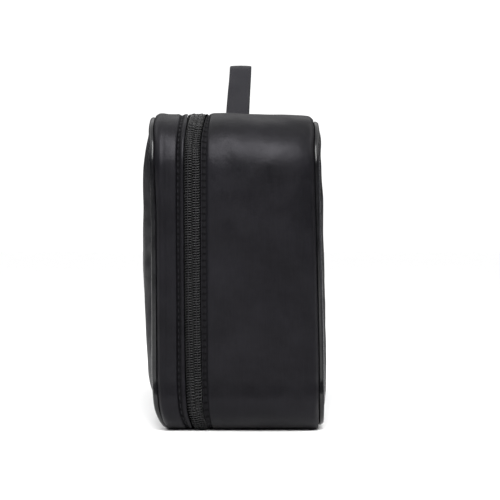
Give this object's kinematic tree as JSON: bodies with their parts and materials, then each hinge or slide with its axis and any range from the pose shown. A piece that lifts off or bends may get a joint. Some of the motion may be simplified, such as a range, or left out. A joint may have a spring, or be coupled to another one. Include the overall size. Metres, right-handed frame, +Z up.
{
  "type": "shoe bag",
  "caption": "Soft clamshell shoe bag with a zip round three sides, piped crowned panels and a folded carry strap on top.",
  "frame": {"origin": "middle of the bottom face that the bag stands on", "axes": "+X along the bag's length, +Y from the front panel to the back panel, +Z up towards the strap"},
  "size_m": [0.33, 0.1308, 0.26],
  "materials": {
    "shell_fabric": "satin nylon",
    "foam": "closed-cell foam sheet",
    "lining_fabric": "plain lining",
    "board": "flat polyethylene board",
    "piping": "glossy",
    "binding_tape": "ribbed tape",
    "zip_tape": "woven tape",
    "zip_coil": "semi-gloss nylon",
    "strap": "satin folded strap",
    "zip_metal": "black enamel"
  },
  "bodies": {
    "main_body": {"back_panel": "shell_fabric", "back_panel_foam": "foam", "back_panel_lining": "lining_fabric", "bottom_board": "board", "bottom_foam": "foam", "bottom_gusset": "shell_fabric", "bottom_lining": "lining_fabric", "handle_end_left": "strap", "handle_end_right": "strap", "handle_patch_left": "binding_tape", "handle_patch_right": "binding_tape", "handle_roots": "strap", "rear_gusset": "shell_fabric", "rear_gusset_foam": "foam", "rear_gusset_lining": "lining_fabric", "rear_piping": "piping", "rear_seam_binding": "binding_tape", "rear_zip_coil": "zip_coil", "rear_zip_tape": "zip_tape", "zip_end_tab_left": "binding_tape", "zip_end_tab_right": "binding_tape"},
    "lid": {"front_gusset": "shell_fabric", "front_gusset_foam": "foam", "front_gusset_lining": "lining_fabric", "front_panel": "shell_fabric", "front_panel_foam": "foam", "front_panel_lining": "lining_fabric", "front_piping": "piping", "front_seam_binding": "binding_tape", "front_zip_coil": "zip_coil", "front_zip_tape": "zip_tape"},
    "handle": {"handle_strap": "strap"},
    "left_slider": {"slider_left": "zip_metal"},
    "right_slider": {"slider_right": "zip_metal"},
    "left_puller": {"puller_left": "zip_metal"},
    "right_puller": {"puller_right": "zip_metal"}
  },
  "joints": [
    {"name": "lid_hinge", "type": "hinge", "parent": "main_body", "child": "lid", "pos_m": [0, -0.05, 0.0019], "axis": [1, 0, 0], "range_deg": [0, 80]},
    {"name": "handle_swing", "type": "hinge", "parent": "main_body", "child": "handle", "pos_m": [0, 0.002, 0.211], "axis": [1, 0, 0], "range_deg": [-60, 60], "deforming": ["handle_roots"]},
    {"name": "left_slider_travel", "type": "slide", "parent": "main_body", "child": "left_slider", "axis": [-1, 0, 0], "range_m": [0, 0.105]},
    {"name": "right_slider_travel", "type": "slide", "parent": "main_body", "child": "right_slider", "axis": [1, 0, 0], "range_m": [0, 0.105]},
    {"name": "left_puller_flip", "type": "hinge", "parent": "left_slider", "child": "left_puller", "pos_m": [-0.0076, -0.026, 0.2131], "axis": [0, 1, 0], "range_deg": [0, 95]},
    {"name": "right_puller_flip", "type": "hinge", "parent": "right_slider", "child": "right_puller", "pos_m": [0.0076, -0.026, 0.2131], "axis": [0, -1, 0], "range_deg": [0, 95]}
  ]
}
